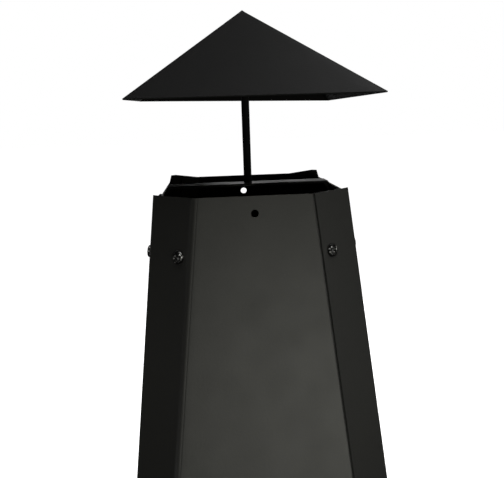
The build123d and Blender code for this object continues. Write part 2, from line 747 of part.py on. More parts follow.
def make_legs():
    """Four channel legs that follow the taper to the ground, and their foot plates."""
    depth = 2 * SHEET

    def leg_section(corner):
        sx, sy = corner

        def local(z, q, inward):
            """A point at q from the fold along the cut-off corner and a depth under it."""
            x = flat(z) + (q - inward) / ROOT2
            y = half(z) - (q + inward) / ROOT2
            return (sx * x, sy * y)

        def section(z):
            start, end = LEG_START, LEG_START + LEG_WIDTH
            outline = [
                (start, depth),
                (end, depth),
                (end, depth + LEG_DEPTH),
                (end - LEG_THICK, depth + LEG_DEPTH),
                (end - LEG_THICK, depth + LEG_THICK),
                (start + LEG_THICK, depth + LEG_THICK),
                (start + LEG_THICK, depth + LEG_DEPTH),
                (start, depth + LEG_DEPTH),
            ]
            return [local(z, q, inward) for q, inward in outline]

        return section

    parts, feet = {}, []
    for name, corner in CORNERS.items():
        leg = ruled(leg_section(corner), FOOT_THICK, LEG_TOP_Z)
        parts[f"leg_{name}"] = drilled(leg, LEG_BOLTS, SCREW_R + HOLE_GAP)
        corners = leg_section(corner)(FOOT_THICK)
        x = sum(p[0] for p in corners[:4]) / 4
        y = sum(p[1] for p in corners[:4]) / 4
        pad = Box(FOOT_SIDE, FOOT_SIDE, FOOT_THICK, align=(Align.CENTER, Align.CENTER, Align.MIN))
        pad = fillet(pad.edges().filter_by(Axis.Z), FOOT_ROUND)
        feet.append(Pos(x, y, 0) * Rot(0, 0, 45) * pad)
    parts["leg_feet"] = feet
    return parts


def make_fasteners():
    """Groups of identical screws, nuts and rivets."""
    sheets = 2 * SHEET
    chimney, chamber = screw_planes(CHIMNEY_ROWS), screw_planes(CHAMBER_ROWS)
    leg_grip = sheets + LEG_THICK
    parts = {
        "chimney_screws": [p * pan_screw() for p in chimney],
        "chimney_nuts": [p * hex_nut(sheets) for p in chimney],
        "chamber_screws": [p * pan_screw() for p in chamber],
        "chamber_nuts": [p * hex_nut(sheets) for p in chamber],
        "leg_screws": [p * pan_screw(length=LEG_BOLT_LENGTH) for p in LEG_BOLTS],
        "leg_nuts": [p * hex_nut(leg_grip) for p in LEG_BOLTS],
    }
    rivets = []
    for z in COLLAR_LEVELS:
        rivets += [plane * rivet(SHEET + COLLAR_THICK) for plane in COLLAR_RIVETS[z]]
    rivets += [plane * rivet(sheets + FLOOR_FIT) for plane in FLOOR_RIVETS]
    rivets += [plane * rivet(sheets) for plane in RAIL_RIVETS]
    parts["body_rivets"] = rivets
    return parts


def write(name, part):
    """One STEP file for a node; a list becomes a group of separate solids."""
    shape = Compound(children=list(part)) if isinstance(part, list) else part
    export_step(shape, f"parts/{name}.step")


collar = ring(SEAM_Z - COLLAR_REACH, SEAM_Z + COLLAR_REACH, COLLAR_THICK)
for level in COLLAR_LEVELS:
    collar = drilled(collar, COLLAR_RIVETS[level], RIVET_R + HOLE_GAP)

NODES = {
    **make_hat(),
    **make_chimney(),
    "joining_collar": collar,
    **make_chamber(),
    **make_floor(),
    **make_drawer(),
    **make_door(),
    **make_legs(),
    **make_fasteners(),
}

os.makedirs("parts", exist_ok=True)
for node_name, node in NODES.items():
    write(node_name, node)
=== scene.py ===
import math
import random

import bmesh
import bpy
from mathutils import Matrix, Vector, noise


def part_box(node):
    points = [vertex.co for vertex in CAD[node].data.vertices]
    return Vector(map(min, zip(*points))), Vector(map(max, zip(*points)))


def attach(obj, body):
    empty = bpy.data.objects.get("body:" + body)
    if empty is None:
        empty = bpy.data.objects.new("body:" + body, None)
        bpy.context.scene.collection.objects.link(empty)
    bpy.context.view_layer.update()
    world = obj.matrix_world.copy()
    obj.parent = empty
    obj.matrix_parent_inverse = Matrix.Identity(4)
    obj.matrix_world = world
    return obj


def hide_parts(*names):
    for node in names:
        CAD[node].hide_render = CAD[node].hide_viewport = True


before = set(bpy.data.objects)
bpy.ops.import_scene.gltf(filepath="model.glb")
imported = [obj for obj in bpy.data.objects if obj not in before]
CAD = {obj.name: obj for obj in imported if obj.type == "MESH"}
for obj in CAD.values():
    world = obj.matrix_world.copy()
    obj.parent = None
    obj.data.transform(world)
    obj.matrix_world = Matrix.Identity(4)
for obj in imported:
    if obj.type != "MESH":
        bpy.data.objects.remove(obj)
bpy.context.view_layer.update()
MM = 0.001

# Driving dimensions of the sheet-metal body, in metres. Levels come from the frame.
SHEET = 1.5 * MM
CORNER = 38 * MM  # plan size of a cut-off corner
TAPER = 0.11  # lean of each side per metre of height
RIM_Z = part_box("chimney_front_panel")[1].z
SEAM_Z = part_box("chimney_front_panel")[0].z
BODY_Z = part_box("chamber_front_panel")[0].z
BODY_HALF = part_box("chamber_corner_front_right")[1].x
LAP = 28 * MM
RETURN = 34 * MM
FOLD_DROP = 14 * MM
SIDE_INSET = 8 * MM
BEND_RADIUS = 2.2 * MM
SEAM_STEP = 0.04 * MM  # how far a soft strip's lap stands off the front panel
ROOT2 = math.sqrt(2)

# Rim: the back stands higher, and each back strip ends in an ear, measured from its fold
BACK_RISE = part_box("chimney_back_panel")[1].z - RIM_Z
EAR_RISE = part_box("chimney_corner_back_left")[1].z - RIM_Z
EAR_START = 34 * MM
EAR_END = 40.5 * MM
EAR_FOOT = 42.4 * MM
RIM_HOLE_R = 3.5 * MM
RIM_HOLE_DROP = 15.5 * MM
RIM_ROUNDING = 4 * MM

# Mouths of the fire chamber: width, height and rounding; width, lower and upper edge
DOOR_Z = 338 * MM
MOUTH = (176 * MM, 190 * MM, 6 * MM)
DRAWER_MOUTH = (200 * MM, 129.5 * MM, 181 * MM)

CORNERS = {
    "front_left": (-1, -1),
    "front_right": (1, -1),
    "back_left": (-1, 1),
    "back_right": (1, 1),
}


def half(z):
    """Half the body's width at a height."""
    return BODY_HALF - TAPER * (z - BODY_Z)


def flat(z):
    """Half the width of a flat side at a height."""
    return half(z) - CORNER


# Camera: fitted to the rim, folds, screws and hat of the picture

CAMERA_PLACE = Vector((-36.0, -637.0, 66.6)) * MM + Vector((0, 0, RIM_Z))
CAMERA_YAW = math.radians(3.44)
CAMERA_PITCH = math.radians(-10.9)
CAMERA_ROLL = math.radians(-1.92)
CAMERA_LENS = 44.5


def make_camera():
    """The camera at the photograph's viewing angle."""
    data = bpy.data.cameras.new("view")
    data.lens = CAMERA_LENS
    data.sensor_width = 36.0
    data.clip_start = 0.02
    camera = bpy.data.objects.new("view", data)
    bpy.context.scene.collection.objects.link(camera)
    ahead = Vector((math.sin(CAMERA_YAW), math.cos(CAMERA_YAW), math.tan(CAMERA_PITCH))).normalized()
    right = Vector((math.cos(CAMERA_YAW), -math.sin(CAMERA_YAW), 0))
    up = right.cross(ahead)
    turn = Matrix((right, up, -ahead)).transposed().to_4x4()
    camera.matrix_world = Matrix.Translation(CAMERA_PLACE) @ turn @ Matrix.Rotation(CAMERA_ROLL, 4, "Z")
    bpy.context.scene.camera = camera


make_camera()

# Materials: black heat-resistant paint, screws, soot, bare steel


class Shader:
    """A Principled material being built, with its nodes wired by short calls."""

    def __init__(self, name):
        self.material = bpy.data.materials.new(name)
        self.material.use_nodes = True
        self.tree = self.material.node_tree
        self.shader = self.tree.nodes["Principled BSDF"]
        self.place = self.node("ShaderNodeTexCoord").outputs["Object"]

    def node(self, kind, **settings):
        made = self.tree.nodes.new(kind)
        for key, value in settings.items():
            setattr(made, key, value)
        return made

    def link(self, out, into):
        self.tree.links.new(out, into)

    def noise(self, scale, detail=3.0, roughness=0.5, stretch=None):
        """A noise's factor, over the object's own coordinates."""
        texture = self.node("ShaderNodeTexNoise")
        texture.inputs["Scale"].default_value = scale
        texture.inputs["Detail"].default_value = detail
        texture.inputs["Roughness"].default_value = roughness
        place = self.place
        if stretch:
            mapping = self.node("ShaderNodeMapping")
            mapping.inputs["Scale"].default_value = stretch
            self.link(place, mapping.inputs["Vector"])
            place = mapping.outputs["Vector"]
        self.link(place, texture.inputs["Vector"])
        return texture.outputs["Fac"]

    def ramp(self, factor, low, high, colours=((0, 0, 0), (1, 1, 1))):
        """Two colours across a band of a factor."""
        ramp = self.node("ShaderNodeValToRGB")
        for element, place, colour in zip(ramp.color_ramp.elements, (low, high), colours):
            element.position = place
            element.color = (*colour, 1)
        self.link(factor, ramp.inputs["Fac"])
        return ramp.outputs["Color"]

    def mix(self, factor, first, second):
        """Mixes two colours, each a value or an output."""
        mix = self.node("ShaderNodeMix", data_type="RGBA")
        self.link(factor, mix.inputs["Factor"])
        for socket, colour in ((mix.inputs[6], first), (mix.inputs[7], second)):
            if isinstance(colour, tuple):
                socket.default_value = (*colour, 1)
            else:
                self.link(colour, socket)
        return mix.outputs[2]

    def span(self, factor, low, high):
        """A factor from 0 to 1 stretched to lie between two numbers."""
        span = self.node("ShaderNodeMapRange")
        span.inputs["From Min"].default_value = 0.25
        span.inputs["From Max"].default_value = 0.75
        span.inputs["To Min"].default_value = low
        span.inputs["To Max"].default_value = high
        self.link(factor, span.inputs["Value"])
        return span.outputs["Result"]

    def bump(self, *layers):
        """Stacked bumps, each a factor with its height in metres."""
        before = None
        for factor, height in layers:
            bump = self.node("ShaderNodeBump")
            bump.inputs["Distance"].default_value = height
            self.link(factor, bump.inputs["Height"])
            if before:
                self.link(before, bump.inputs["Normal"])
            before = bump.outputs["Normal"]
        self.link(before, self.shader.inputs["Normal"])


GRAIN, PEEL = 0.03 * MM, 0.05 * MM
DUST = (0.16, 0.15, 0.135)


def paint(name, dark, light, rough=(0.45, 0.49), dust=0.0, gloss=0.5):
    """Sprayed heat-resistant paint: fine grain, slight orange peel, soft shifts of tone."""
    s = Shader(name)
    tone = s.noise(5, 3)
    colour = s.mix(s.ramp(tone, 0.2, 0.8), dark, light)
    speck = s.noise(1500, 2)
    colour = s.mix(s.ramp(speck, 0.66, 0.8), colour, tuple(2.0 * c + 0.004 for c in light))
    if dust:
        settled = s.ramp(s.noise(22, 6, 0.65), 0.52, 0.8, ((0, 0, 0), (dust, dust, dust)))
        colour = s.mix(settled, colour, DUST)
    s.link(colour, s.shader.inputs["Base Color"])
    s.link(s.span(s.noise(35, 5), *rough), s.shader.inputs["Roughness"])
    s.shader.inputs["Specular IOR Level"].default_value = gloss
    s.bump((s.noise(2600, 2), GRAIN), (s.noise(420, 1), PEEL))
    return s.material


def black_screw_painted_glints():
    """Black zinc on a pressed screw, with painted glints: near-white spots in points that stand in for
    the heads' highlights.
    """
    s = Shader("black_screw_painted_glints")
    cells = s.node("ShaderNodeTexVoronoi")
    cells.inputs["Scale"].default_value = 310
    s.link(s.place, cells.inputs["Vector"])
    ragged = s.node("ShaderNodeMath", operation="MULTIPLY_ADD")
    s.link(s.noise(1200, 2), ragged.inputs[0])
    ragged.inputs[1].default_value = 0.6
    s.link(cells.outputs["Distance"], ragged.inputs[2])
    # painted glints: ragged near-white, slightly metallic spots, painted on to stand in for the
    # highlights on the screw heads
    painted_glints = s.ramp(ragged.outputs["Value"], 0.53, 0.65, ((1, 1, 1), (0, 0, 0)))
    uneven = s.ramp(s.noise(260, 2), 0.4, 0.6)
    colour = s.mix(painted_glints, (0.006, 0.006, 0.006), s.mix(uneven, (0.14, 0.14, 0.14), (0.9, 0.9, 0.88)))
    s.link(colour, s.shader.inputs["Base Color"])
    s.link(s.mix(painted_glints, (0, 0, 0), (0.4, 0.4, 0.4)), s.shader.inputs["Metallic"])
    s.link(s.mix(painted_glints, (0.35, 0.35, 0.35), (0.42, 0.42, 0.42)), s.shader.inputs["Roughness"])
    s.bump((s.noise(1500, 2), 0.04 * MM))
    return s.material


def sooty():
    """The inside: matt paint under brown-grey soot."""
    s = Shader("sooty_inside")
    soot = s.ramp(s.noise(16, 6, 0.6, (1, 1, 0.35)), 0.38, 0.62)
    colour = s.mix(soot, (0.01, 0.01, 0.009), (0.028, 0.025, 0.021))
    s.link(colour, s.shader.inputs["Base Color"])
    s.link(s.span(s.noise(60, 4), 0.75, 0.95), s.shader.inputs["Roughness"])
    s.shader.inputs["Specular IOR Level"].default_value = 0.25
    s.bump((s.noise(700, 4), 0.12 * MM))
    return s.material


def hot_steel():
    """Round bar of the grate: mill scale, heat blue and a little rust."""
    s = Shader("hot_steel")
    scale = s.mix(s.noise(40, 5), (0.035, 0.033, 0.034), (0.075, 0.07, 0.066))
    rust = s.ramp(s.noise(55, 6, 0.7), 0.56, 0.7)
    s.link(s.mix(rust, scale, (0.13, 0.05, 0.022)), s.shader.inputs["Base Color"])
    s.shader.inputs["Metallic"].default_value = 0.55
    s.link(s.span(s.noise(120, 5), 0.45, 0.75), s.shader.inputs["Roughness"])
    s.bump((s.noise(900, 4), 0.1 * MM))
    return s.material


BODY_PAINT = paint("body_paint", (0.0125, 0.0125, 0.0115), (0.0175, 0.0175, 0.016))
HAT_PAINT = paint("hat_paint", (0.0065, 0.0065, 0.0065), (0.009, 0.009, 0.009), rough=(0.4, 0.46))
HAT_INSIDE = paint("hat_inside", (0.004, 0.004, 0.004), (0.007, 0.007, 0.0065), (0.8, 0.9), gloss=0.15)
# Crossbar paint, lighter than the body paint. Its lighter tone is painted light, standing in for the
# light on the crossbar's top, and the dust is settled dust. The door handle, drawer pull and hinges
# share it.
BAR_PAINT = paint("bar_paint", (0.036, 0.036, 0.033), (0.06, 0.06, 0.055), rough=(0.38, 0.5), dust=0.25)
ROD_PAINT = paint("rod_paint", (0.002, 0.002, 0.002), (0.003, 0.003, 0.003), (0.75, 0.85), gloss=0.12)
WIRE_PAINT = paint("wire_paint", (0.012, 0.012, 0.012), (0.022, 0.021, 0.02), rough=(0.5, 0.7))
LEG_PAINT = paint("leg_paint", (0.012, 0.012, 0.011), (0.017, 0.017, 0.016), dust=0.3)
SCREW_PAINTED_GLINTS = black_screw_painted_glints()
SOOT = sooty()
HOT_STEEL = hot_steel()


def dress(obj, *materials):
    """Gives an object its materials, in slot order."""
    obj.data.materials.clear()
    for material in materials:
        obj.data.materials.append(material)


def dress_cad():
    """A procedural material for every CAD node, by what it is made of."""
    rules = (
        ("hat_", HAT_PAINT),
        ("hat_crossbar", BAR_PAINT),
        ("hat_rod", ROD_PAINT),
        ("chimney_", BODY_PAINT),
        ("chamber_", BODY_PAINT),
        ("chamber_floor", SOOT),
        ("joining_collar", SOOT),
        ("grate_rail", SOOT),
        ("fire_grate", HOT_STEEL),
        ("ash_drawer", SOOT),
        ("drawer_front", BODY_PAINT),
        ("drawer_pull", BAR_PAINT),
        ("drawer_runner", SOOT),
        ("door_", BODY_PAINT),
        ("door_mesh", WIRE_PAINT),
        ("door_handle", BAR_PAINT),
        ("hinge_", BAR_PAINT),
        ("leg_", LEG_PAINT),
        ("body_rivets", SCREW_PAINTED_GLINTS),
    )
    for name, node in CAD.items():
        chosen = BODY_PAINT
        for start, material in rules:
            if name.startswith(start):
                chosen = material
        if name.endswith("_screws") or name.endswith("_nuts"):
            chosen = SCREW_PAINTED_GLINTS
        dress(node, chosen)


dress_cad()

# Sheet metal: an outer skin swept up the taper, then thickened and its edges broken

ARC_STEPS = 8
ROUND_STEPS = 6
HEAD_STEPS = 40  # sides of a round hole or screw head
SHEET_ROWS = 30
FLANGE_STEPS, FLAT_STEPS, SIDE_STEPS = 4, 28, 24
EDGE_BREAK = 0.22 * MM
WARP = 0.28 * MM  # how far a flat stretch bulges at most
WARP_SCALE = 9
SOFT_BEND = 8 * MM
THINNED = 0.86  # the soft strip's sheet thickness, as a share
REACH = 60 * MM  # longer than any cutter has to be


def unit(start, end):
    """Direction from one plan point to another."""
    return (end - start).normalized()


def arc_points(before, corner, after, radius):
    """Plan points of a bend that rounds a corner."""
    come, go = unit(before, corner), unit(corner, after)
    turn = come.angle(go)
    tangent = radius * math.tan(turn / 2)
    middle = (go - come).normalized()
    centre = corner + middle * radius / math.cos(turn / 2)
    first, last = corner - come * tangent - centre, corner + go * tangent - centre
    points = []
    for step in range(ARC_STEPS + 1):
        share = step / ARC_STEPS
        weights = math.sin((1 - share) * turn), math.sin(share * turn)
        points.append(centre + (first * weights[0] + last * weights[1]) / math.sin(turn))
    return points


def skin_line(corners, radii, stations):
    """Plan points of a bent sheet's outer skin, and how freely each may bulge.

    stations gives, for each straight stretch, a count of equal steps or distances from
    its first corner.
    """
    trims = [0.0]
    for index, radius in enumerate(radii, 1):
        come = unit(corners[index - 1], corners[index])
        turn = come.angle(unit(corners[index], corners[index + 1]))
        trims.append(radius * math.tan(turn / 2))
    trims.append(0.0)
    points = []
    for index, places in enumerate(stations):
        start, end = corners[index], corners[index + 1]
        length, way = (end - start).length, unit(start, end)
        low, high = trims[index], length - trims[index + 1]
        if isinstance(places, int):
            shares = [step / places for step in range(1, places)]
            inner = [(low + (high - low) * share, math.sin(math.pi * share)) for share in shares]
        else:
            inner = [(place, 0.0) for place in places if low < place < high]
        if index == 0:
            points.append((start, 0.0))
        points += [(start + way * place, free) for place, free in inner]
        if index < len(radii):
            bend = arc_points(start, end, corners[index + 2], radii[index])
            points += [(point, 0.0) for point in bend]
        else:
            points.append((end, 0.0))
    return points


def new_object(name, mesh, materials, body):
    """An object for a mesh, dressed, riding on a body."""
    obj = bpy.data.objects.new(name, mesh)
    bpy.context.scene.collection.objects.link(obj)
    dress(obj, *materials)
    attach(obj, body)
    return obj


def grid_mesh(name, rows, closed=False):
    """A mesh of quads through rows of points, facing away from the upright middle axis."""
    bm = bmesh.new()
    made = [[bm.verts.new(point) for point in row] for row in rows]
    for low, high in zip(made, made[1:]):
        count = len(low)
        for index in range(count if closed else count - 1):
            after = (index + 1) % count
            bm.faces.new((low[index], low[after], high[after], high[index]))
    bm.normal_update()
    facing = sum(f.normal.dot(Vector((*f.calc_center_median().xy, 0))) for f in bm.faces)
    if facing < 0:
        bmesh.ops.reverse_faces(bm, faces=bm.faces)
    mesh = bpy.data.meshes.new(name)
    bm.to_mesh(mesh)
    bm.free()
    return mesh


def thicken(obj, thickness, cutters=()):
    """Gives a skin its sheet thickness, cuts its openings and breaks its edges.

    A second material goes on the inside.
    """
    solid = obj.modifiers.new("thickness", "SOLIDIFY")
    solid.thickness = thickness
    solid.offset = -1
    solid.use_even_offset = True
    solid.material_offset = len(obj.data.materials) - 1
    for cutter in cutters:
        cut = obj.modifiers.new("cut", "BOOLEAN")
        cut.operation = "DIFFERENCE"
        cut.solver = "EXACT"
        cut.object = cutter
    if cutters:
        bake_modifiers(obj)
        for cutter in cutters:
            bpy.data.objects.remove(cutter)
    break_edges(obj, EDGE_BREAK)
    obj.data.shade_smooth()


def bake_modifiers(obj):
    """Replaces an object's mesh by what its modifiers make of it."""
    graph = bpy.context.evaluated_depsgraph_get()
    baked = bpy.data.meshes.new_from_object(obj.evaluated_get(graph))
    obj.modifiers.clear()
    obj.data = baked


def break_edges(obj, width, angle=40):
    """Small rounded breaks along an object's sharp edges."""
    bevel = obj.modifiers.new("edges", "BEVEL")
    bevel.width = width
    bevel.segments = 2
    bevel.limit_method = "ANGLE"
    bevel.angle_limit = math.radians(angle)
    bevel.harden_normals = True


def cutter_object(outline, frame_matrix):
    """A prism through an outline in a plane's own x and y, to cut an opening with."""
    bm = bmesh.new()
    rows = [[bm.verts.new((x, y, w)) for x, y in outline] for w in (-REACH / 2, REACH / 2)]
    bm.faces.new(list(reversed(rows[0])))
    bm.faces.new(rows[1])
    for index in range(len(outline)):
        after = (index + 1) % len(outline)
        bm.faces.new((rows[0][index], rows[0][after], rows[1][after], rows[1][index]))
    bmesh.ops.recalc_face_normals(bm, faces=bm.faces)
    mesh = bpy.data.meshes.new("cutter")
    bm.to_mesh(mesh)
    bm.free()
    obj = bpy.data.objects.new("cutter", mesh)
    obj.matrix_world = frame_matrix
    bpy.context.scene.collection.objects.link(obj)
    return obj


def round_outline(radius):
    """A circle's points."""
    turns = [math.tau * step / HEAD_STEPS for step in range(HEAD_STEPS)]
    return [(radius * math.cos(turn), radius * math.sin(turn)) for turn in turns]


def box_outline(width, height, radius=0.0):
    """A rectangle's points, its corners rounded."""
    points = []
    for quarter, (sx, sy) in enumerate(((1, 1), (-1, 1), (-1, -1), (1, -1))):
        centre_x, centre_y = sx * (width / 2 - radius), sy * (height / 2 - radius)
        for step in range(ROUND_STEPS + 1 if radius else 1):
            turn = math.pi / 2 * (quarter + step / ROUND_STEPS)
            points.append((centre_x + radius * math.cos(turn), centre_y + radius * math.sin(turn)))
    return points


def plane_matrix(side, along, z):
    """Axes on a flat side: x along it, y up the slope, z outwards."""
    dx, dy = side
    normal = Vector((dx, dy, TAPER)).normalized()
    across = Vector((-dy, dx, 0))
    up = normal.cross(across)
    place = Vector((dx * half(z) - dy * along, dy * half(z) + dx * along, z))
    return Matrix.Translation(place) @ Matrix((across, up, normal)).transposed().to_4x4()


def facet_matrix(corner, along, z):
    """Axes on a cut-off corner, at a distance from its front or back fold."""
    sx, sy = corner
    step = along / ROOT2
    normal = Vector((sx, sy, 2 * TAPER)).normalized()
    across = Vector((sx, -sy, 0)).normalized()
    up = normal.cross(across)
    place = Vector((sx * (flat(z) + step), sy * (half(z) - step), z))
    return Matrix.Translation(place) @ Matrix((across, up, normal)).transposed().to_4x4()


def sweep_skin(name, section, levels, tops, seed, lean=None):
    """Mesh of a sheet's outer skin.

    section gives the plan line at a height, tops the height at which each of its columns
    ends, and lean an inward shift near the rim.
    """
    low, high = levels[0], levels[-1]
    random.seed(seed)
    drift = Vector((random.random(), random.random(), random.random())) * 40
    rows = []
    for level in levels:
        share = (level - low) / (high - low)
        fade = math.sin(math.pi * min(1.0, max(0.0, share)))
        row = []
        for index, top in enumerate(tops):
            z = low + (top - low) * share
            point, free = section(z)[index]
            out = Vector((*point, 0)).normalized()
            bulge = noise.noise(Vector((*point, z)) * WARP_SCALE + drift) * WARP * free * fade
            spot = Vector((*point, z)) + out * bulge
            if lean:
                spot.x -= math.copysign(lean(z), spot.x)
            row.append(spot)
        rows.append(row)
    return grid_mesh(name, rows)


def even_levels(low, high, count, extra=()):
    """Heights from low to high, with some of its own added."""
    levels = [low + (high - low) * step / count for step in range(count + 1)]
    return sorted(set(levels) | set(extra))


def faced_line(sign, radii):
    """Plan line of a front (-1) or back (1) panel, flange to flange."""

    def line(z):
        fold = flat(z) - ROOT2 * SHEET
        depth = half(z)
        reach = LAP / ROOT2
        corners = [
            Vector((-fold - reach, sign * (depth - reach))),
            Vector((-fold, sign * depth)),
            Vector((fold, sign * depth)),
            Vector((fold + reach, sign * (depth - reach))),
        ]
        return skin_line(corners, radii, (FLANGE_STEPS, FLAT_STEPS, FLANGE_STEPS))

    return line


# Columns of a strip's mesh, from its folds; an ear and a clipped flange turn at some of them
EAR_COLUMNS = [EAR_START, EAR_END, 42.35 * MM, 42.45 * MM]
FACET_STATIONS = [4 * MM, 12 * MM, 20 * MM, 28 * MM, *EAR_COLUMNS, 47 * MM]
CLIP_START = 0.75 * MM
FLANGE_STATIONS = [CLIP_START, 5 * MM, 10 * MM, CLIP_START + FOLD_DROP, 22 * MM]


def strip_line(corner, soft=False):
    """Plan line of a corner strip, from its front or back fold over to the side flange.

    A soft strip starts a little before the fold and rounds it closely.
    """
    sx, sy = corner

    def line(z):
        wide, narrow = half(z), flat(z)
        corners = [(narrow, wide), (wide, narrow), (wide, narrow - RETURN)]
        radii = [BEND_RADIUS]
        stations = [FACET_STATIONS, FLANGE_STATIONS]
        if soft:
            corners.insert(0, (narrow - SOFT_BEND / 2, wide + SEAM_STEP))
            radii.insert(0, SOFT_BEND)
            stations.insert(0, 1)
        points = [Vector((sx * x, sy * y)) for x, y in corners]
        return skin_line(points, radii, stations)

    return line


def blend_between(value, low, high, at_low, at_high):
    """A number that runs straight from at_low to at_high as value goes from low to high."""
    share = min(1.0, max(0.0, (value - low) / (high - low)))
    return at_low + (at_high - at_low) * share


def strip_top(corner, point):
    """Height of a chimney strip's upper edge over a point of its plan line at the rim."""
    sx, sy = corner
    x, y = point.x * sx, point.y * sy
    along = (x - flat(RIM_Z)) * ROOT2
    down = flat(RIM_Z) - y
    if sy < 0:
        return RIM_Z - blend_between(down, CLIP_START, CLIP_START + FOLD_DROP, 0, FOLD_DROP)
    if along > EAR_FOOT:
        return RIM_Z - blend_between(along, EAR_FOOT, CORNER * ROOT2, 0, FOLD_DROP)
    if along > EAR_START:
        return RIM_Z + blend_between(along, EAR_END, EAR_FOOT, EAR_RISE, 0)
    return RIM_Z + blend_between(along, 0, EAR_START, BACK_RISE, EAR_RISE)


def rim_lean(z):
    """How far a side panel's upper edge has folded in at a height."""
    slope = (SIDE_INSET - SHEET) / FOLD_DROP
    past = z - (RIM_Z - FOLD_DROP)
    if past <= -RIM_ROUNDING:
        return 0.0
    if past < RIM_ROUNDING:
        return slope * (past + RIM_ROUNDING) ** 2 / (4 * RIM_ROUNDING)
    return slope * past


def side_line(sx, folded):
    """Plan line of a side panel, inside the strips' flanges and wider where it folds in."""

    def line(z):
        out, edge = half(z) - SHEET, flat(z) - SHEET + (rim_lean(z) if folded else 0)
        corners = [Vector((sx * out, -edge)), Vector((sx * out, edge))]
        return skin_line(corners, [], [SIDE_STEPS])

    return line


def make_sheet(node, line, low, high, tops=None, lean=None, cutters=(), thickness=SHEET):
    """One body sheet in place of its CAD node."""
    extra = []
    if lean:
        extra = [RIM_Z - FOLD_DROP + step * MM for step in range(-4, 5)]
    levels = even_levels(low, high, SHEET_ROWS, extra)
    count = len(line(high))
    ends = tops or [high] * count
    mesh = sweep_skin(node + "_sheet", line, levels, ends, node, lean)
    obj = new_object(node + "_sheet", mesh, (BODY_PAINT, SOOT), "body")
    thicken(obj, thickness, cutters)
    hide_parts(node)
    return obj


def make_body_sheets():
    """The sixteen sheets of the chimney and the fire chamber."""
    crisp, soft = BEND_RADIUS, SOFT_BEND
    rim_hole = RIM_Z - RIM_HOLE_DROP
    for section, low, high in (("chimney", SEAM_Z, RIM_Z), ("chamber", BODY_Z, SEAM_Z)):
        upper = section == "chimney"
        for side, sign, radii in (("front", -1, [soft, crisp]), ("back", 1, [crisp, crisp])):
            cutters = []
            if upper:
                place = plane_matrix((0, sign), 0, rim_hole)
                cutters.append(cutter_object(round_outline(RIM_HOLE_R), place))
            elif side == "front":
                cutters += chamber_mouths()
            top = high + (BACK_RISE if upper and side == "back" else 0)
            make_sheet(f"{section}_{side}_panel", faced_line(sign, radii), low, top, cutters=cutters)
        for side, sx in (("left", -1), ("right", 1)):
            lean = rim_lean if upper else None
            make_sheet(f"{section}_{side}_panel", side_line(sx, upper), low, high, lean=lean)
        for name, corner in CORNERS.items():
            line = strip_line(corner, soft=name == "front_left")
            tops = None
            if upper:
                tops = [strip_top(corner, point) for point, free in line(RIM_Z)]
            thin = SHEET * THINNED if name == "front_left" else SHEET
            make_sheet(f"{section}_corner_{name}", line, low, high, tops, thickness=thin)


def chamber_mouths():
    """Cutters for the door's and the drawer's openings."""
    width, low, high = DRAWER_MOUTH
    door = cutter_object(box_outline(*MOUTH), plane_matrix((0, -1), 0, DOOR_Z))
    drawer_z = (low + high) / 2
    upright = plane_matrix((0, -1), 0, drawer_z)
    level = Matrix.Translation(upright.translation) @ Matrix.Rotation(math.pi / 2, 4, "X")
    drawer = cutter_object(box_outline(width, high - low, 2 * MM), level)
    return [door, drawer]


make_body_sheets()

# Rain hat: four faces folded over soft ridges to a blunt tip

HAT_LOW, HAT_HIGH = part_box("hat_shell")
HAT_RISE = HAT_HIGH.z - HAT_LOW.z
HAT_TURN = math.radians(2.4)
HAT_HALF = HAT_HIGH.x / (math.cos(HAT_TURN) + math.sin(HAT_TURN))
HAT_SHEET = 1.2 * MM
HAT_RIDGE = 2.0 * MM
HAT_BEND = 5.5 * MM  # the left back corner of the hem is bent up
HAT_ROWS = 24
HAT_COLUMNS = 12
HAT_CROWN = [0.975, 0.985, 0.991]  # shares of the height where the tip rounds off


def hat_ring(level):
    """Points of the hat's skin at a share of its height, from the hem up."""
    size = HAT_HALF * (1 - level)
    radius = min(HAT_RIDGE, size * 0.8)
    ring = []
    for quarter in range(4):
        turn = quarter * math.pi / 2 + HAT_TURN
        for step in range(ARC_STEPS + 1):
            bend = math.pi / 2 * step / ARC_STEPS
            x = size - radius + radius * math.cos(bend)
            y = size - radius + radius * math.sin(bend)
            ring.append((x, y, turn))
        for step in range(1, HAT_COLUMNS):
            y = size - radius - 2 * (size - radius) * step / HAT_COLUMNS
            ring.append((y, size, turn))
    points = []
    for x, y, turn in ring:
        spot = Matrix.Rotation(turn, 2) @ Vector((x, y))
        square = Matrix.Rotation(-HAT_TURN, 2) @ spot
        bent = (size - square.x) * (size + square.y) / (4 * size * size)
        rise = HAT_RISE * level + HAT_BEND * bent * (1 - level)
        points.append(Vector((*spot, HAT_LOW.z + rise)))
    return points


def make_hat():
    """The hat's shell."""
    levels = [step / HAT_ROWS for step in range(HAT_ROWS)] + HAT_CROWN
    rows = [hat_ring(level) for level in levels]
    tip = rows[-1]
    middle = Vector((0, 0, HAT_HIGH.z - 0.25 * MM))
    rows.append([middle + (point - middle) * 0.45 + Vector((0, 0, 0.15 * MM)) for point in tip])
    mesh = grid_mesh("rain_hat", rows, closed=True)
    bm = bmesh.new()
    bm.from_mesh(mesh)
    rim = [edge for edge in bm.edges if edge.is_boundary]
    top = [edge for edge in rim if edge.verts[0].co.z > HAT_LOW.z + HAT_RISE / 2]
    bmesh.ops.holes_fill(bm, edges=top)
    bmesh.ops.recalc_face_normals(bm, faces=bm.faces)
    bm.normal_update()
    if sum(face.normal.z * face.calc_area() for face in bm.faces) < 0:
        bmesh.ops.reverse_faces(bm, faces=bm.faces)
    bm.to_mesh(mesh)
    bm.free()
    hat = new_object("rain_hat", mesh, (HAT_PAINT, HAT_INSIDE), "body")
    thicken(hat, HAT_SHEET)
    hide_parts("hat_shell")


make_hat()

# Screws: domed pan heads with a pressed cross recess

HEAD_FLAT = 0.35  # radius of the head's flat top, as a share of the head's
HEAD_WALL = 0.38  # height of its upright wall, as a share of the head's


